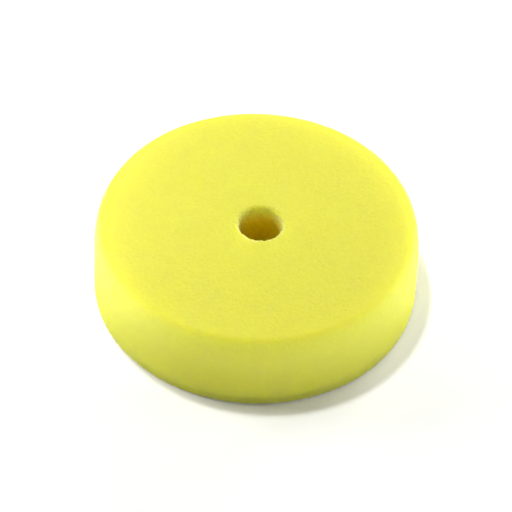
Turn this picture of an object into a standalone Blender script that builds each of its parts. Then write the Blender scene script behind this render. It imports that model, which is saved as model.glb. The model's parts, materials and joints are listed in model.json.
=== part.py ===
"""Foam polishing pad: a foam disc with a hook-and-loop backing, modelled as the layers it is bonded from.

Metres, +Z up. The origin is the centre of the loop face, which the pad stands on,
and +Z runs through the pad to the working face.
"""

import math

import bmesh
import bpy

# Foam disc
DISC_CENTRE = (0.0, 0.0)
FOAM_BASE_RADIUS = 0.075  # lower edge of the foam, the widest part of the pad
FOAM_SHOULDER_RADIUS = 0.0744  # where the side turns into the rounded upper edge
FOAM_HEIGHT = 0.038
UPPER_EDGE_INSET = 0.0042  # horizontal and vertical size of the rounded upper edge
UPPER_EDGE_DROP = 0.0065

# Centre hole, cut through every layer, a little off the disc's axis
HOLE_RADIUS = 0.0104
HOLE_CENTRE = (0.0014, -0.0015)
HOLE_RIM = 0.0016  # rounding of the cut at the working face

# Backing, from the loop face up
PILE_HEIGHT = 0.0007
BASE_CLOTH_THICKNESS = 0.00045
ADHESIVE_THICKNESS = 0.00025
LAYER_GAP = 0.0002  # kept between neighbouring layers
BACKING_RECESS = 0.003  # how far the loop fabric stays inside the foam's lower edge
ADHESIVE_RECESS = 0.0004  # how far the glue stays inside the loop fabric
PILE_RECESS = 0.0003  # how far the loops stay inside the edges of their ground cloth

SEGMENTS = 96
UPPER_EDGE_STEPS = 8
HOLE_RIM_STEPS = 4
SHARP_ANGLE = math.radians(35)

# Linear colour, roughness
FOAM_YELLOW = ((0.82, 0.80, 0.095, 1.0), 0.9)
FILM_AMBER = ((0.62, 0.56, 0.30, 1.0), 0.35)
CLOTH_WHITE = ((0.62, 0.61, 0.57, 1.0), 0.85)
PILE_WHITE = ((0.74, 0.73, 0.69, 1.0), 0.95)


def clear_scene():
    for obj in list(bpy.data.objects):
        bpy.data.objects.remove(obj)


def make_material(name, colour, roughness):
    material = bpy.data.materials.new(name)
    material.use_nodes = True
    shader = material.node_tree.nodes["Principled BSDF"]
    shader.inputs["Base Color"].default_value = colour
    shader.inputs["Roughness"].default_value = roughness
    shader.inputs["Metallic"].default_value = 0.0
    return material


def circle(centre, radius, z):
    """Points of a level circle, anticlockwise seen from above."""
    angles = [2 * math.pi * step / SEGMENTS for step in range(SEGMENTS)]
    x, y = centre
    return [(x + radius * math.cos(a), y + radius * math.sin(a), z) for a in angles]


def ring_solid(name, section, material):
    """A closed ring through a section of circles (centre, radius, z).

    The section goes up the outer side, inwards, and down the hole.
    """
    bm = bmesh.new()
    loops = [[bm.verts.new(point) for point in circle(*level)] for level in section]
    for lower, upper in zip(loops, loops[1:] + loops[:1]):
        for here in range(SEGMENTS):
            after = (here + 1) % SEGMENTS
            bm.faces.new((lower[here], lower[after], upper[after], upper[here]))
    mesh = bpy.data.meshes.new(name)
    bm.to_mesh(mesh)
    bm.free()
    mesh.shade_smooth()
    mesh.set_sharp_from_angle(angle=SHARP_ANGLE)
    mesh.materials.append(material)
    obj = bpy.data.objects.new(name, mesh)
    bpy.context.scene.collection.objects.link(obj)
    return obj


def quarter_turns(steps):
    """(sine, cosine) pairs from 0 to 90 degrees, for a rounded edge."""
    angles = [math.pi / 2 * step / steps for step in range(steps + 1)]
    return [(math.sin(a), math.cos(a)) for a in angles]


def foam_disc(bottom):
    """The foam, with a barely tapered side, a rounded upper edge and a softened hole rim."""
    top = bottom + FOAM_HEIGHT
    flat_radius = FOAM_SHOULDER_RADIUS - UPPER_EDGE_INSET
    section = [(DISC_CENTRE, FOAM_BASE_RADIUS, bottom)]
    for sine, cosine in quarter_turns(UPPER_EDGE_STEPS):
        radius = flat_radius + UPPER_EDGE_INSET * cosine
        section.append((DISC_CENTRE, radius, top - UPPER_EDGE_DROP * (1 - sine)))
    for sine, cosine in quarter_turns(HOLE_RIM_STEPS):
        radius = HOLE_RADIUS + HOLE_RIM * (1 - sine)
        section.append((HOLE_CENTRE, radius, top - HOLE_RIM * (1 - cosine)))
    section.append((HOLE_CENTRE, HOLE_RADIUS, bottom))
    return ring_solid("foam_disc", section, make_material("foam_yellow", *FOAM_YELLOW))


def flat_layer(name, outer_radius, hole_radius, bottom, thickness, material):
    """One thin layer of the backing, with the hole through it."""
    top = bottom + thickness
    section = [
        (DISC_CENTRE, outer_radius, bottom),
        (DISC_CENTRE, outer_radius, top),
        (HOLE_CENTRE, hole_radius, top),
        (HOLE_CENTRE, hole_radius, bottom),
    ]
    return ring_solid(name, section, material)


def build():
    clear_scene()
    cloth_radius = FOAM_BASE_RADIUS - BACKING_RECESS
    cloth_bottom = PILE_HEIGHT + LAYER_GAP
    adhesive_bottom = cloth_bottom + BASE_CLOTH_THICKNESS + LAYER_GAP
    foam_bottom = adhesive_bottom + ADHESIVE_THICKNESS + LAYER_GAP

    flat_layer(
        "loop_pile",
        cloth_radius - PILE_RECESS,
        HOLE_RADIUS + PILE_RECESS,
        0,
        PILE_HEIGHT,
        make_material("pile_white", *PILE_WHITE),
    )
    flat_layer(
        "backing_cloth",
        cloth_radius,
        HOLE_RADIUS,
        cloth_bottom,
        BASE_CLOTH_THICKNESS,
        make_material("cloth_white", *CLOTH_WHITE),
    )
    flat_layer(
        "adhesive_film",
        cloth_radius - ADHESIVE_RECESS,
        HOLE_RADIUS + ADHESIVE_RECESS,
        adhesive_bottom,
        ADHESIVE_THICKNESS,
        make_material("film_amber", *FILM_AMBER),
    )
    foam_disc(foam_bottom)


build()
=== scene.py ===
"""Looks of the foam polishing pad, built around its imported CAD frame.

The foam is a dense ring mesh with pores and cut edges, on a film of glue, a knitted ground
cloth and a pile of real loops of yarn. Softboxes light it on a plain white floor.
Metres, +Z up.
"""

import json
import math

import bpy
import numpy as np
from mathutils import Matrix, Vector, noise

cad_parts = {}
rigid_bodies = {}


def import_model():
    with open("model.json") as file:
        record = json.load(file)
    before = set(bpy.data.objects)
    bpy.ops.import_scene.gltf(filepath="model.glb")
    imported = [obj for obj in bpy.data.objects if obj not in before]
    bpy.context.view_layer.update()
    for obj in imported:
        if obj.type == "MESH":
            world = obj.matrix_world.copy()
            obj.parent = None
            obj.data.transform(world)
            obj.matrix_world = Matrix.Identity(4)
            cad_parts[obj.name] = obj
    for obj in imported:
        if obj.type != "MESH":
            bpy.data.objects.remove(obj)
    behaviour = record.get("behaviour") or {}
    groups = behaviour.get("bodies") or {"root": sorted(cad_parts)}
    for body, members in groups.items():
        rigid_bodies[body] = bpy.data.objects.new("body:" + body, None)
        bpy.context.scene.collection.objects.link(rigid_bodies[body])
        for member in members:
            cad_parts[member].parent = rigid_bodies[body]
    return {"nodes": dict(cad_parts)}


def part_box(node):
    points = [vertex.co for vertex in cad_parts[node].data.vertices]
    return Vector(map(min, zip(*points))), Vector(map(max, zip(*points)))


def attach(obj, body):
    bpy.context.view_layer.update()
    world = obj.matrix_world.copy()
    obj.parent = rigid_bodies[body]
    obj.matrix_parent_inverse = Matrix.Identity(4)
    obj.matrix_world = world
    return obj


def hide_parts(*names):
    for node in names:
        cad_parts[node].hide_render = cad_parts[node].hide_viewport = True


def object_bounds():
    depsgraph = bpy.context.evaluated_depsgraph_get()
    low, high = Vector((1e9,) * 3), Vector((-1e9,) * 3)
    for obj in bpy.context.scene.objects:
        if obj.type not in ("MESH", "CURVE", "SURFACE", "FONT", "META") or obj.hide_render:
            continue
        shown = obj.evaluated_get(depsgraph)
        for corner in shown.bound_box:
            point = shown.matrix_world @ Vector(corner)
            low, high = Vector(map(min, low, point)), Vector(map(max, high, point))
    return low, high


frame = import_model()
cad_low, cad_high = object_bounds()

MM = 0.001
RANDOM = np.random.default_rng(7)

# Camera: from the front and above, turned a little in its own plane
CAMERA_ELEVATION = math.radians(46.88)
CAMERA_DISTANCE = 1.025
CAMERA_ROLL = math.radians(2.15)
CAMERA_LENS_MM = 156.2
CAMERA_TARGET_HEIGHT = 21.0 * MM
CAMERA_AIM_LEFT = 0.18 * MM  # how far the aim is to the left of the pad's centre
CAMERA_AIM_DOWN = 3.05 * MM
SENSOR_WIDTH_MM = 36.0

# Floor: the camera sees one floor, and another just below it lights the foam
FLOOR_HALF_SIZE = 6.0
FLOOR_WHITE = 0.95
FLOOR_BOUNCE = 1.0
FLOOR_GAP = 0.2 * MM
FLOOR_FADE = (0.25, 0.45)  # distances between which both start to glow like the background
BACKGROUND = 1.1

# Softboxes: azimuth (0 behind the camera, 90 at +X), elevation, distance, size, watts
SOFTBOXES = [
    (0, 18, 0.5, 0.25, 0.5),
    (45, 18, 0.5, 0.25, 0.2),
    (98, 18, 0.5, 0.25, 1.2),
    (135, 20, 0.5, 0.25, 1.7),
    (264, 25, 0.33, 0.18, 0.93),
    (230, 78, 0.9, 0.07, 3.9),
]
SOFTBOX_AIM = 20 * MM  # height that they face

# Foam mesh; its shoulder is longer than the CAD's, for a softer edge
FOAM_STEP = 0.66 * MM  # distance between neighbouring points
FOAM_SIDE_STEP = 0.70 * MM
FOAM_HOLE_STEP = 0.42 * MM
ROW_SHARE = 0.9  # distance between rows of points, as a share of that within a row
FINE_HOLE_DEPTH = 9 * MM
HIDDEN_STEP = 3.0 * MM
HOLE_SEARCH_RADIUS = 30 * MM  # the hole's vertices are nearer to the axis than this
FLAT_RADIUS = 69.0 * MM
UPPER_EDGE_DROP = 16 * MM
UPPER_EDGE_POWER = 0.6  # below 1 keeps most of the rounding near the working face
SHOULDER_RADIUS = 74.4 * MM
UPPER_EDGE_STEPS = 26
HOLE_RIM = 1.4 * MM
HOLE_RIM_STEPS = 8

# Foam surface: (size of its lumps or cells, how far they stand out or go in)
FACE_LUMPS = (1.1 * MM, 0.06 * MM)
FACE_PORES = (1.5 * MM, 0.2 * MM)
SIDE_LUMPS = (1.6 * MM, 0.06 * MM)
SIDE_PORES = (2.6 * MM, 0.22 * MM)
HOLE_LUMPS = (0.5 * MM, 0.5 * MM)
HOLE_TEARS = 0.2 * MM  # how far its torn edge is in or out from one point to the next
GRAIN = 0.03 * MM  # how uneven each point is by itself
POINT_SLIDE = 0.08 * MM  # how far each point is moved along the surface
CUT_EDGE_LUMPS = (0.9 * MM, 0.45 * MM)
SWELLS = (40 * MM, 0.15 * MM)
CUT_EDGE_HEIGHT = 1.2 * MM
HOLE_SHADE_DEPTH = 11 * MM
LIP_SAG = 1.3 * MM  # how far the foam's lower edge hangs where no backing holds it
LIP_SAG_REACH = 10 * MM

# Wear seen on the lower edge: (bearing from +X, height above the foam's lower edge, radius, depth)
NICKS = [
    (math.radians(225.5), 0.2 * MM, 1.0 * MM, 0.7 * MM),
    (math.radians(238.0), 1.3 * MM, 0.6 * MM, 0.6 * MM),
]

# Glue film, ground cloth and loops
GLUE_SPREAD = 0.07 * MM
GLUE_EDGE = 0.3 * MM
CLOTH_STEP = 0.62 * MM
WALE_PITCH = 2.2 * MM  # distance between the knitted columns of the ground cloth
WALE_HEIGHT = 0.12 * MM
CLOTH_THICKENING = 0.07 * MM
CLOTH_FRAY = 0.18 * MM
LOOP_ROWS = 1.7 * MM
LOOP_SPACING = 1.6 * MM
LOOP_WIDTH = 1.25 * MM
YARN_RADIUS = 0.085 * MM
LOOP_STEPS = 6
YARN_END_COUNT = 700
YARN_END_STEPS = 4


# ---------------------------------------------------------------- mesh helpers


def new_object(name, points, faces, material):
    """A smooth-shaded mesh object with one material, in the scene."""
    mesh = bpy.data.meshes.new(name)
    mesh.from_pydata(points, [], faces)
    mesh.validate()
    mesh.shade_smooth()
    mesh.materials.append(material)
    obj = bpy.data.objects.new(name, mesh)
    bpy.context.scene.collection.objects.link(obj)
    return obj


def store(obj, name, values):
    """One number for each point of the mesh, for its material to read."""
    obj.data.attributes.new(name, "FLOAT", "POINT").data.foreach_set("value", values)


def stitch(first, first_shift, second, second_shift):
    """Triangles between two rings of evenly spaced points, each turned by its shift, in steps.

    The middles of the two rings' edges are sorted by bearing, and each gives one triangle.
    """
    n, m = len(first), len(second)
    first_middles = (np.arange(n) + 0.5 + first_shift) / n
    second_middles = (np.arange(m) + 0.5 + second_shift) / m
    order = np.argsort(np.concatenate([first_middles, second_middles]), kind="stable")
    on_first = order < n
    i = np.cumsum(on_first) - on_first
    j = np.cumsum(~on_first) - ~on_first
    here, there = first[i % n], second[j % m]
    ahead = np.where(on_first, first[(i + 1) % n], second[(j + 1) % m])
    return np.stack([here, ahead, there], axis=1)


def ring_mesh(section, hole_centre):
    """Points and triangles of a closed ring round a section of (share, radius, z, step).

    share is 0 for a circle round the disc's axis and 1 for one round the hole's.
    """
    points, rings, shifts = [], [], []
    count = 0
    for row, (share, radius, z, step) in enumerate(section):
        around = max(24, round(2 * math.pi * radius / step))
        shift = 0.5 * (row % 2)
        angle = 2 * math.pi * (np.arange(around) + shift) / around
        x = share * hole_centre[0] + radius * np.cos(angle)
        y = share * hole_centre[1] + radius * np.sin(angle)
        points.append(np.stack([x, y, np.full(around, z)], axis=1))
        rings.append(np.arange(count, count + around))
        shifts.append(shift)
        count += around
    faces = []
    for row in range(len(rings)):
        after = (row + 1) % len(rings)
        faces.append(stitch(rings[row], shifts[row], rings[after], shifts[after]))
    return np.concatenate(points), np.concatenate(faces)


def straight(start, end, row_step, ring_step):
    """Section levels from one (share, radius, z) to another, without the last."""
    start, end = np.array(start), np.array(end)
    steps = max(1, round(np.linalg.norm((end - start)[1:]) / row_step))
    return [(*(start + (end - start) * number / steps), ring_step) for number in range(steps)]


def hole_of(node):
    """Centre (x, y) and radius of the hole through a CAD node, from its lowest vertices."""
    low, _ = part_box(node)
    corners = np.array([v.co for v in frame["nodes"][node].data.vertices])
    level = corners[corners[:, 2] < low.z + 0.1 * MM, :2]
    inner = level[from_point(level) < HOLE_SEARCH_RADIUS]
    centre = (inner.min(axis=0) + inner.max(axis=0)) / 2
    return centre, from_point(inner, centre).mean()


def from_point(points, centre=(0, 0)):
    """Level distance of each point from a centre (x, y)."""
    return np.hypot(points[:, 0] - centre[0], points[:, 1] - centre[1])


# ---------------------------------------------------------------- surface noise


def lumps(points, size, seed=0.0):
    """Smooth noise from -1 to 1, its lumps about size across."""
    return np.array([noise.noise(p) for p in (points / size + seed).tolist()])


def pores(points, size, reach=0.45, seed=0.0):
    """0 between cells of this size, rising to 1 at their middles."""
    nearest = np.array([noise.voronoi(p)[0][0] for p in (points / size + seed).tolist()])
    inside = np.clip(1 - nearest / reach, 0, 1)
    return inside * inside * (3 - 2 * inside)


def fade(values, low, high):
    """0 at low and 1 at high, smooth between."""
    t = np.clip((values - low) / (high - low), 0, 1)
    return t * t * (3 - 2 * t)


# ---------------------------------------------------------------- material helpers


class Nodes:
    """Short-hand for building a node tree."""

    def __init__(self, tree):
        self.tree = tree

    def set(self, node, key, value):
        if isinstance(value, bpy.types.NodeSocket):
            self.tree.links.new(value, node.inputs[key])
        else:
            node.inputs[key].default_value = value

    def add(self, kind, values=None, **settings):
        node = self.tree.nodes.new(kind)
        for key, value in settings.items():
            setattr(node, key, value)
        for key, value in (values or {}).items():
            self.set(node, key, value)
        return node

    def place(self):
        return self.add("ShaderNodeTexCoord").outputs["Object"]

    def attribute(self, name):
        return self.add("ShaderNodeAttribute", attribute_name=name).outputs["Fac"]

    def noise(self, place, size, detail=2.0):
        """Noise from 0 to 1, its lumps about size across."""
        values = {"Vector": place, "Scale": 1 / size, "Detail": detail}
        return self.add("ShaderNodeTexNoise", values).outputs[0]

    def cells(self, place, size, feature="F1"):
        values = {"Vector": place, "Scale": 1 / size}
        return self.add("ShaderNodeTexVoronoi", values, feature=feature).outputs["Distance"]

    def math(self, operation, *values):
        return self.add("ShaderNodeMath", dict(enumerate(values)), operation=operation).outputs[0]

    def ramp(self, value, low, high, out_low=0.0, out_high=1.0):
        values = {"Value": value, "From Min": low, "From Max": high}
        values.update({"To Min": out_low, "To Max": out_high})
        return self.add("ShaderNodeMapRange", values).outputs[0]

    def mix(self, factor, first, second, blend="MIX"):
        node = self.add("ShaderNodeMix", data_type="RGBA", blend_type=blend)
        for key, value in ((0, factor), (6, first), (7, second)):
            self.set(node, key, value)
        return node.outputs[2]

    def bump(self, height, distance, strength=1.0):
        values = {"Height": height, "Distance": distance, "Strength": strength}
        return self.add("ShaderNodeBump", values).outputs[0]


def new_material(name, **constants):
    """A material, its node helper and its shader, with constants set on the shader's own sockets."""
    material = bpy.data.materials.new(name)
    material.use_nodes = True
    shader = material.node_tree.nodes["Principled BSDF"]
    for key, value in constants.items():
        shader.inputs[key.replace("_", " ")].default_value = value
    return material, Nodes(material.node_tree), shader


# ---------------------------------------------------------------- materials


def foam_material():
    """Yellow foam: fine cells with painted light on their paler walls and painted shade in their
    hollows, and faint clouds.

    Painted shade darkens the pores and nicks, the side has painted light at its top and painted
    shade towards its foot, and painted light bounced inside the hole makes it a brighter orange with
    depth.
    """
    material, nodes, shader = new_material(
        "foam",
        Roughness=0.95,
        Specular_IOR_Level=0.0,
        Subsurface_Weight=1.0,
        Subsurface_Radius=(1.0, 0.9, 0.07),
        Subsurface_Scale=20 * MM,
        Sheen_Weight=0.03,
        Sheen_Roughness=0.5,
        Sheen_Tint=(1.0, 1.0, 0.75, 1.0),
    )
    base = (0.73, 0.71, 0.095, 1.0)
    # painted light and shade on the side: paler at its top, darker towards its foot
    side_painted_light = (0.75, 0.77, 0.12, 1.0)
    side_painted_shade = (0.52, 0.53, 0.066, 1.0)
    # pale gives the random paler clouds and painted light on the cell walls; deep gives random grain
    # and blotches and painted shade in hollows
    pale_tone_and_light = (0.78, 0.76, 0.116, 1.0)
    deep_tone_and_shade = (0.63, 0.61, 0.057, 1.0)
    # painted light bounced inside the hole: a brighter orange, mixed in with depth
    hole = (1.0, 0.80, 0.09, 1.0)
    place = nodes.place()
    face = nodes.attribute("face")
    cloud = nodes.noise(place, 14 * MM)
    blotch = nodes.noise(place, 2.6 * MM)
    grain = nodes.noise(place, 0.55 * MM, detail=1.0)
    # painted light on the cell walls and painted shade in the cell hollows
    struts = nodes.ramp(nodes.cells(place, 0.68 * MM, "DISTANCE_TO_EDGE"), 0.16, 0.02)
    pit_shade = nodes.ramp(nodes.cells(place, 0.68 * MM), 0.55, 0.1)
    strength = nodes.ramp(face, 0.0, 1.0, 0.55, 1.0)
    # painted shade towards the side's foot and painted light at its top, mixed by the height
    # attribute
    side = nodes.mix(nodes.attribute("height"), side_painted_shade, side_painted_light)
    colour = nodes.mix(face, side, base)
    # painted shade in the cell hollows
    colour = nodes.mix(nodes.math("MULTIPLY", pit_shade, 0.30), colour, deep_tone_and_shade)
    # painted light on the cell walls, strongest on the working face
    strut_light = nodes.math("MULTIPLY", nodes.math("MULTIPLY", struts, 0.5), strength)
    colour = nodes.mix(strut_light, colour, pale_tone_and_light)
    colour = nodes.mix(nodes.ramp(grain, 0.3, 0.7, 0.25, 0.0), colour, deep_tone_and_shade)
    colour = nodes.mix(nodes.ramp(blotch, 0.3, 0.7, 0.12, 0.0), colour, deep_tone_and_shade)
    colour = nodes.mix(nodes.ramp(cloud, 0.3, 0.7, 0.10, 0.0), colour, pale_tone_and_light)
    # painted shade in the pores and nicks
    colour = nodes.mix(nodes.math("MULTIPLY", nodes.attribute("pore_shade"), 0.5), colour, deep_tone_and_shade)
    # painted light bounced inside the hole
    colour = nodes.mix(nodes.attribute("painted_hole_light"), colour, hole)
    nodes.set(shader, "Base Color", colour)
    height = nodes.math("ADD", nodes.math("MULTIPLY", struts, 0.4), grain)
    nodes.set(shader, "Normal", nodes.bump(height, 0.12 * MM, 0.7))
    return material


def glue_material():
    """Hot-melt glue: a web of thin and thick places, amber where thick."""
    material, nodes, shader = new_material("glue", Specular_IOR_Level=0.5)
    place = nodes.place()
    web = nodes.cells(place, 2.2 * MM, "DISTANCE_TO_EDGE")
    blotch = nodes.noise(place, 5 * MM)
    colour = nodes.mix(nodes.ramp(web, 0.0, 0.2), (0.50, 0.40, 0.16, 1.0), (0.66, 0.60, 0.34, 1.0))
    colour = nodes.mix(nodes.ramp(blotch, 0.3, 0.7, 0.0, 0.3), colour, (0.72, 0.68, 0.45, 1.0))
    nodes.set(shader, "Base Color", colour)
    nodes.set(shader, "Roughness", nodes.ramp(blotch, 0.3, 0.7, 0.28, 0.5))
    nodes.set(shader, "Normal", nodes.bump(web, 0.1 * MM, 0.6))
    return material


def cloth_material():
    """Knitted ground cloth: columns of stitches crossed by courses, with fine fibres."""
    material, nodes, shader = new_material(
        "ground_cloth", Roughness=0.85, Specular_IOR_Level=0.3, Sheen_Weight=0.2, Sheen_Roughness=0.5
    )
    place = nodes.place()
    courses = nodes.add(
        "ShaderNodeTexWave",
        {"Vector": place, "Scale": 0.05 / MM, "Distortion": 1.2, "Detail": 1.0},
        bands_direction="Y",
    ).outputs["Fac"]
    fibres = nodes.noise(place, 0.25 * MM, detail=3.0)
    blotch = nodes.noise(place, 9 * MM)
    colour = nodes.mix(courses, (0.50, 0.49, 0.45, 1.0), (0.66, 0.65, 0.61, 1.0))
    colour = nodes.mix(nodes.ramp(fibres, 0.35, 0.65, 0.3, 0.0), colour, (0.42, 0.41, 0.38, 1.0))
    colour = nodes.mix(nodes.ramp(blotch, 0.3, 0.7, 0.0, 0.15), colour, (0.58, 0.57, 0.50, 1.0))
    nodes.set(shader, "Base Color", colour)
    height = nodes.math("ADD", courses, nodes.math("MULTIPLY", fibres, 0.5))
    nodes.set(shader, "Normal", nodes.bump(height, 0.1 * MM, 0.8))
    return material


def yarn_material():
    """Loop yarn: off-white nylon, each loop a little lighter or darker, with fine filaments."""
    material, nodes, shader = new_material(
        "loop_yarn", Roughness=0.7, Specular_IOR_Level=0.4, Sheen_Weight=0.3, Sheen_Roughness=0.4
    )
    place = nodes.place()
    filaments = nodes.noise(place, 0.09 * MM, detail=2.0)
    colour = nodes.mix(nodes.attribute("tint"), (0.64, 0.63, 0.59, 1.0), (0.80, 0.79, 0.76, 1.0))
    colour = nodes.mix(nodes.ramp(filaments, 0.35, 0.65, 0.25, 0.0), colour, (0.52, 0.51, 0.47, 1.0))
    nodes.set(shader, "Base Color", colour)
    nodes.set(shader, "Normal", nodes.bump(filaments, 0.03 * MM, 0.8))
    return material


# ---------------------------------------------------------------- foam


def side_and_face_section():
    """Levels up the side, round the shoulder and across the working face to the hole's rim."""
    low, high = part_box("foam_disc")
    _, hole_radius = hole_of("foam_disc")
    edge_inset = SHOULDER_RADIUS - FLAT_RADIUS
    shoulder = high.z - UPPER_EDGE_DROP
    side_foot, side_top = (0, high.x, low.z), (0, SHOULDER_RADIUS, shoulder)
    section = straight(side_foot, side_top, ROW_SHARE * FOAM_SIDE_STEP, FOAM_SIDE_STEP)
    for angle in np.linspace(0, math.pi / 2, UPPER_EDGE_STEPS, endpoint=False):
        radius = FLAT_RADIUS + edge_inset * math.cos(angle) ** UPPER_EDGE_POWER
        section.append((0, radius, shoulder + UPPER_EDGE_DROP * math.sin(angle), FOAM_STEP))
    face_edge, face_rim = (0, FLAT_RADIUS, high.z), (1, hole_radius + HOLE_RIM, high.z)
    return section + straight(face_edge, face_rim, ROW_SHARE * FOAM_STEP, FOAM_STEP)


def hole_section():
    """Levels round the hole's rim and down its wall."""
    low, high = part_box("foam_disc")
    _, hole_radius = hole_of("foam_disc")
    section = []
    for angle in np.linspace(0, math.pi / 2, HOLE_RIM_STEPS, endpoint=False):
        radius = hole_radius + HOLE_RIM - HOLE_RIM * math.sin(angle)
        drop = HOLE_RIM * (1 - math.cos(angle))
        section.append((1, radius, high.z - drop, FOAM_HOLE_STEP))
    wall_top = (1, hole_radius, high.z - HOLE_RIM)
    wall_middle = (1, hole_radius, high.z - FINE_HOLE_DEPTH)
    wall_foot = (1, hole_radius, low.z)
    section += straight(wall_top, wall_middle, ROW_SHARE * FOAM_HOLE_STEP, FOAM_HOLE_STEP)
    return section + straight(wall_middle, wall_foot, ROW_SHARE * FOAM_STEP, FOAM_STEP)


def underside_section():
    """Levels from the foot of the hole's wall to the foot of the side, finer towards the edge."""
    low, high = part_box("foam_disc")
    _, hole_radius = hole_of("foam_disc")
    hole_foot = (1, hole_radius, low.z)
    under = (0, high.x - 8 * MM, low.z)
    lip = (0, high.x - 2 * MM, low.z)
    side_foot = (0, high.x, low.z)
    section = straight(hole_foot, under, HIDDEN_STEP, HIDDEN_STEP)
    section += straight(under, lip, HIDDEN_STEP / 2, HIDDEN_STEP / 2)
    return section + straight(lip, side_foot, ROW_SHARE * FOAM_STEP, FOAM_STEP)


def nick_depth(points):
    """How far each point goes in for the nicks in the lower edge."""
    low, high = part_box("foam_disc")
    depth = np.zeros(len(points))
    for bearing, height, radius, deepest in NICKS:
        middle = np.array([high.x * math.cos(bearing), high.x * math.sin(bearing), low.z + height])
        near = 1 - np.linalg.norm(points - middle, axis=1) / radius
        depth += deepest * fade(near, 0, 1)
    return depth


def foam_zones(points, normals):
    """Share of each point in the working face, underside, hole wall, side and cut lower edge."""
    low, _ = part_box("foam_disc")
    hole_centre, hole_radius = hole_of("foam_disc")
    from_hole = from_point(points, hole_centre)
    face = fade(normals[:, 2], 0.2, 0.8)
    under = fade(-normals[:, 2], 0.5, 0.9)
    past_wall = fade(from_hole, hole_radius + 0.3 * HOLE_RIM, hole_radius + 1.2 * HOLE_RIM)
    wall = (1 - past_wall) * (1 - under)
    side = (1 - face) * (1 - wall) * (1 - under)
    cut = side * (1 - fade(points[:, 2], low.z, low.z + CUT_EDGE_HEIGHT))
    return face, under, wall, side, cut


def lip_sag(points):
    """How far each point of the side and its foot hangs where no backing holds the foam."""
    low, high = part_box("foam_disc")
    _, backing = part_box("backing_cloth")
    sag = LIP_SAG * fade(from_point(points), backing.x + 0.5 * MM, high.x - 0.5 * MM)
    return sag * (1 - fade(points[:, 2], low.z, low.z + LIP_SAG_REACH))


def roughen_foam(foam):
    """Pores, lumps and ragged cut edges, and the numbers that the foam's material reads."""
    low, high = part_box("foam_disc")
    hole_centre, hole_radius = hole_of("foam_disc")
    mesh = foam.data
    points = np.array([v.co for v in mesh.vertices])
    normals = np.array([v.normal for v in mesh.vertices])
    face, under, wall, side, cut = foam_zones(points, normals)

    face_pores = pores(points, FACE_PORES[0]) * face * (1 - wall)
    side_pores = pores(points, SIDE_PORES[0], reach=0.25, seed=9.0) * side
    nicks = nick_depth(points)
    out = FACE_LUMPS[1] * lumps(points, FACE_LUMPS[0]) * (face + under)
    out += SIDE_LUMPS[1] * lumps(points, SIDE_LUMPS[0], 3.0) * side
    out += HOLE_LUMPS[1] * lumps(points, HOLE_LUMPS[0], 5.0) * wall
    out += CUT_EDGE_LUMPS[1] * lumps(points, CUT_EDGE_LUMPS[0], 7.0) * cut
    out += SWELLS[1] * lumps(points, SWELLS[0]) * (1 - under)
    out += RANDOM.normal(0, 1, len(points)) * (GRAIN + HOLE_TEARS * wall) * (1 - under)
    out -= FACE_PORES[1] * face_pores + SIDE_PORES[1] * side_pores + nicks
    slide = RANDOM.normal(0, POINT_SLIDE, points.shape)
    slide -= normals * (slide * normals).sum(axis=1)[:, None]
    slide[:, 2] -= lip_sag(points)
    mesh.vertices.foreach_set("co", (points + normals * out[:, None] + slide).ravel())
    mesh.update()

    in_hole = from_point(points, hole_centre) < hole_radius + HOLE_RIM
    store(foam, "face", face)
    store(foam, "height", fade(points[:, 2], low.z, high.z))
    # painted shade for the pores and the nicks, for the material to read
    store(foam, "pore_shade", np.clip(0.5 * face_pores + side_pores + nicks / MM, 0, 1))
    # share of painted bounce light inside the hole, growing with depth
    store(foam, "painted_hole_light", fade(high.z - points[:, 2], 0, HOLE_SHADE_DEPTH) * in_hole)


def make_foam():
    """The foam disc, a padded piece."""
    hole_centre, _ = hole_of("foam_disc")
    section = side_and_face_section() + hole_section() + underside_section()
    points, faces = ring_mesh(section, hole_centre)
    foam = new_object("foam_body", points, faces, foam_material())
    roughen_foam(foam)
    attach(foam, "root")
    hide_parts("foam_disc")
    print("foam_body:", len(faces), "triangles")
    return foam


# ---------------------------------------------------------------- backing


def layer_mesh(node, thicken, step, rounding):
    """Points and triangles of a thin ring in a CAD layer's place, thicker, with rounded edges."""
    low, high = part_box(node)
    hole_centre, hole_radius = hole_of(node)
    bottom, top = low.z - thicken, high.z + thicken
    middle, half = (bottom + top) / 2, (top - bottom) / 2
    outer, inner = high.x - rounding, hole_radius + rounding
    section = []
    for angle in np.linspace(-math.pi / 2, math.pi / 2, 5):
        level = middle + half * math.sin(angle)
        section.append((0, outer + rounding * math.cos(angle), level, step))
    section += straight((0, outer, top), (1, inner, top), HIDDEN_STEP, HIDDEN_STEP)[1:]
    for angle in np.linspace(math.pi / 2, -math.pi / 2, 5):
        level = middle + half * math.sin(angle)
        section.append((1, inner - rounding * math.cos(angle), level, step))
    section += straight((1, inner, bottom), (0, outer, bottom), 0.9 * step, step)[1:]
    return ring_mesh(section, hole_centre)


def from_edges(points, node):
    """How far each point is inside the nearer edge of a CAD layer."""
    _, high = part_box(node)
    hole_centre, hole_radius = hole_of(node)
    return np.minimum(high.x - from_point(points), from_point(points, hole_centre) - hole_radius)


def outwards(points, node):
    """Level unit vectors from the middle of the ring's width towards the nearer edge."""
    _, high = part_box(node)
    hole_centre, hole_radius = hole_of(node)
    away = points * (1, 1, 0) / from_point(points)[:, None]
    near_hole = from_point(points, hole_centre) < (high.x + hole_radius) / 2
    return np.where(near_hole[:, None], -away, away)


def make_glue():
    """The film of glue, squeezed unevenly at its edges."""
    points, faces = layer_mesh("adhesive_film", GLUE_SPREAD, 1.2 * MM, 0.15 * MM)
    at_edge = 1 - fade(from_edges(points, "adhesive_film"), 0.4 * MM, 2 * MM)
    spread = GLUE_EDGE * lumps(points * (1, 1, 0), 4 * MM) * at_edge
    points += outwards(points, "adhesive_film") * spread[:, None]
    glue = new_object("glue_film", points, faces, glue_material())
    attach(glue, "root")
    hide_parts("adhesive_film")
    print("glue_film:", len(faces), "triangles")
    return glue


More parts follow.
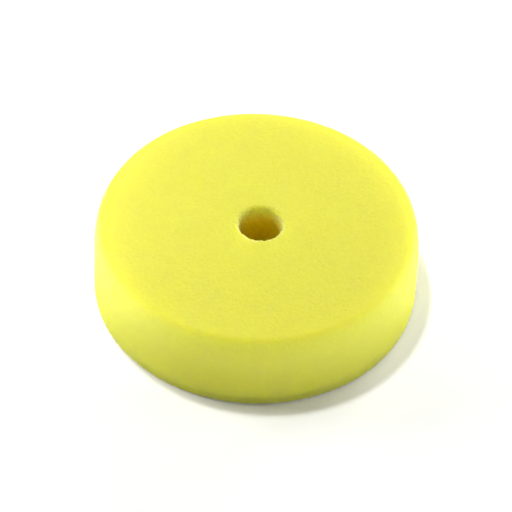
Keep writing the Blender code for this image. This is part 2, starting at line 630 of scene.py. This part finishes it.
def make_cloth():
    """The ground cloth: ribbed by its wales below, with frayed edges, laid on the glue."""
    low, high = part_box("backing_cloth")
    points, faces = layer_mesh("backing_cloth", CLOTH_THICKENING, CLOTH_STEP, 0.25 * MM)
    inside = from_edges(points, "backing_cloth")
    below = fade(low.z + 0.1 * MM - points[:, 2], 0, 0.1 * MM)
    wale = np.cos(2 * math.pi * (points[:, 0] + 0.3 * MM * lumps(points, 8 * MM)) / WALE_PITCH)
    points[:, 2] += WALE_HEIGHT * (0.5 - 0.5 * wale) * below * fade(inside, 0, 1.5 * MM)
    fray = CLOTH_FRAY * lumps(points, 0.8 * MM, 11.0) * (1 - fade(inside, 0.3 * MM, 1 * MM))
    points += outwards(points, "backing_cloth") * fray[:, None]
    cloth = new_object("ground_cloth", points, faces, cloth_material())
    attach(cloth, "root")
    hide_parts("backing_cloth")
    print("ground_cloth:", len(faces), "triangles")
    return cloth


def tubes(paths, radius):
    """Points and triangles of three-sided closed tubes along many paths of equally many points."""
    count, steps, _ = paths.shape
    along = np.gradient(paths, axis=1)
    along /= np.linalg.norm(along, axis=2, keepdims=True)
    across = np.cross(along, paths[:, -1:] - paths[:, :1] + (1e-9, 2e-9, 3e-9))
    across = np.where(np.linalg.norm(across, axis=2, keepdims=True) > 1e-9, across, (0.0, 0.0, 1.0))
    side = across.mean(axis=1, keepdims=True)
    side = side - along * (side * along).sum(axis=2, keepdims=True)
    side /= np.linalg.norm(side, axis=2, keepdims=True)
    third = np.cross(along, side)
    angles = 2 * math.pi * np.arange(3) / 3
    corners = np.stack([math.cos(a) * side + math.sin(a) * third for a in angles], axis=2)
    points = paths[:, :, None, :] + np.asarray(radius).reshape(-1, 1, 1, 1) * corners
    faces = []
    for step in range(steps - 1):
        for corner in range(3):
            here, turn = 3 * step + corner, 3 * step + (corner + 1) % 3
            faces += [(here, turn, turn + 3), (here, turn + 3, here + 3)]
    last = 3 * (steps - 1)
    faces += [(2, 1, 0), (last, last + 1, last + 2)]
    faces = np.array(faces)[None] + (np.arange(count) * 3 * steps)[:, None, None]
    return points.reshape(-1, 3), faces.reshape(-1, 3)


def loop_places():
    """Feet of the loops, in knitted rows along X with some scatter, inside the pile's edges."""
    low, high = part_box("loop_pile")
    rows = np.arange(low.y, high.y, LOOP_ROWS)
    along = np.arange(low.x, high.x, LOOP_SPACING)
    x, y = np.meshgrid(along, rows)
    x[1::2] += LOOP_SPACING / 2
    places = np.stack([x.ravel(), y.ravel()], axis=1)
    places += RANDOM.normal(0, 0.22 * MM, places.shape)
    inside = from_edges(np.column_stack([places, np.zeros(len(places))]), "loop_pile")
    return places[inside > 0.5 * LOOP_WIDTH]


def loop_paths(places, root, crown):
    """Arched paths with their feet at height root and their tops near height crown."""
    count = len(places)
    turn = RANDOM.normal(0, 0.6, count)
    heading = np.stack([np.cos(turn), np.sin(turn)], axis=1)
    width = LOOP_WIDTH * RANDOM.uniform(0.6, 1.0, count)
    depth = (root - crown) * RANDOM.uniform(0.6, 1.0, count)
    lean = RANDOM.normal(0.15, 0.25, count) * MM
    phase = np.linspace(0, math.pi, LOOP_STEPS)
    bulge = -np.cos(phase) * (1 + 0.5 * np.sin(phase)) / 2
    level = places[:, None] + (heading * width[:, None])[:, None] * bulge[None, :, None]
    sideways = np.stack([-heading[:, 1], heading[:, 0]], axis=1)
    level = level + (sideways * lean[:, None])[:, None] * np.sin(phase)[None, :, None]
    z = root - depth[:, None] * np.sin(phase)[None, :] ** 0.8
    return np.concatenate([level, z[:, :, None]], axis=2)


def yarn_end_paths():
    """Short cut ends of yarn that stick out of the cloth's outer edge."""
    low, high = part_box("backing_cloth")
    bearing = RANDOM.uniform(0, 2 * math.pi, YARN_END_COUNT)
    reach = RANDOM.uniform(0.3, 1.1, YARN_END_COUNT) * MM
    bend = RANDOM.normal(0, 0.35, YARN_END_COUNT)
    height = RANDOM.uniform(low.z, high.z, YARN_END_COUNT)
    drop = RANDOM.uniform(-0.1, 0.5, YARN_END_COUNT) * MM
    t = np.linspace(0, 1, YARN_END_STEPS)[None]
    radius = high.x - 0.5 * MM + (reach[:, None] + 0.5 * MM) * t
    turned = bearing[:, None] + (bend * reach / high.x)[:, None] * 2 * t**2
    z = height[:, None] - drop[:, None] * t**2
    return np.stack([radius * np.cos(turned), radius * np.sin(turned), z], axis=2)


def make_loops():
    """The pile: loops of yarn out of the ground cloth, and yarn ends round its outer edge."""
    low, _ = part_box("loop_pile")
    cloth_low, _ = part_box("backing_cloth")
    loops = loop_paths(loop_places(), cloth_low.z + 0.1 * MM, low.z + 1.5 * YARN_RADIUS)
    ends = yarn_end_paths()
    loop_points, loop_faces = tubes(loops, YARN_RADIUS)
    end_points, end_faces = tubes(ends, 0.5 * YARN_RADIUS)
    points = np.concatenate([loop_points, end_points])
    faces = np.concatenate([loop_faces, end_faces + len(loop_points)])
    pile = new_object("pile_loops", points, faces, yarn_material())
    tints = RANDOM.uniform(0, 1, len(loops)).repeat(3 * LOOP_STEPS)
    end_tints = RANDOM.uniform(0, 1, len(ends)).repeat(3 * YARN_END_STEPS)
    store(pile, "tint", np.concatenate([tints, end_tints]))
    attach(pile, "root")
    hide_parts("loop_pile")
    print("pile_loops:", len(faces), "triangles,", len(loops), "loops")
    return pile


# ---------------------------------------------------------------- studio


def floor_material(name, white):
    """A matt floor that starts to glow white far from the pad, where it meets the background."""
    material, nodes, shader = new_material(
        name,
        Base_Color=(white, white, white, 1.0),
        Roughness=1.0,
        Specular_IOR_Level=0.0,
        Emission_Color=(1.0, 1.0, 1.0, 1.0),
    )
    length = nodes.add("ShaderNodeVectorMath", {0: nodes.place()}, operation="LENGTH")
    distance = length.outputs["Value"]
    nodes.set(shader, "Emission Strength", nodes.ramp(distance, *FLOOR_FADE, 0.0, BACKGROUND))
    return material


def make_floor(name, white, drop):
    """One square floor, its top this far below the pad's foot."""
    s = FLOOR_HALF_SIZE
    z = cad_low.z - drop
    corners = [(-s, -s, z), (s, -s, z), (s, s, z), (-s, s, z)]
    floor = new_object(name, corners, [(0, 1, 2, 3)], floor_material(name, white))
    return floor


def make_floors():
    """The floor that only the camera sees, and the one that only lights the pad."""
    seen = make_floor("floor", FLOOR_WHITE, 0)
    seen.visible_diffuse = False
    seen.visible_glossy = False
    seen.visible_transmission = False
    seen.visible_shadow = False
    lit_from = make_floor("floor_bounce", FLOOR_BOUNCE, FLOOR_GAP)
    lit_from.visible_camera = False


def make_softboxes():
    """Square area lights that face a point inside the pad, unseen by the camera."""
    aim = Vector((0, 0, SOFTBOX_AIM))
    for number, (azimuth, elevation, distance, size, watts) in enumerate(SOFTBOXES):
        a, e = math.radians(azimuth), math.radians(elevation)
        towards = Vector((math.sin(a) * math.cos(e), -math.cos(a) * math.cos(e), math.sin(e)))
        data = bpy.data.lights.new(f"softbox_{number}", "AREA")
        data.size = size
        data.energy = watts
        lamp = bpy.data.objects.new(f"softbox_{number}", data)
        bpy.context.scene.collection.objects.link(lamp)
        lamp.location = aim + towards * distance
        lamp.rotation_euler = towards.to_track_quat("Z", "Y").to_euler()
        lamp.visible_camera = False


def make_background():
    """White to the camera, and dark to everything else, so that it doesn't light the pad."""
    world = bpy.data.worlds.new("background")
    bpy.context.scene.world = world
    world.use_nodes = True
    nodes = Nodes(world.node_tree)
    seen = nodes.add("ShaderNodeLightPath").outputs["Is Camera Ray"]
    background = world.node_tree.nodes["Background"]
    nodes.set(background, "Color", (1.0, 1.0, 1.0, 1.0))
    nodes.set(background, "Strength", nodes.ramp(seen, 0.0, 1.0, 0.0, BACKGROUND))


def make_camera():
    """The photo's view: back from the pad at an angle, rolled, and aimed a little off its centre."""
    camera = bpy.data.objects.new("camera", bpy.data.cameras.new("camera"))
    bpy.context.scene.collection.objects.link(camera)
    camera.data.sensor_width = SENSOR_WIDTH_MM
    camera.data.lens = CAMERA_LENS_MM
    back = Vector((0, -math.cos(CAMERA_ELEVATION), math.sin(CAMERA_ELEVATION)))
    centre = Vector((0, 0, CAMERA_TARGET_HEIGHT))
    camera.location = centre + back * CAMERA_DISTANCE
    turned = Matrix.Rotation(CAMERA_ROLL, 3, "Z")
    axes = back.to_track_quat("Z", "Y").to_matrix() @ turned
    target = centre - axes @ Vector((CAMERA_AIM_LEFT, CAMERA_AIM_DOWN, 0))
    look = (camera.location - target).to_track_quat("Z", "Y").to_matrix() @ turned
    camera.rotation_euler = look.to_euler()
    bpy.context.scene.camera = camera
    bpy.context.scene.view_settings.view_transform = "Standard"


# ---------------------------------------------------------------- whole scene


make_camera()
make_floors()
make_softboxes()
make_background()
make_foam()
glue = make_glue()
make_cloth()
make_loops()
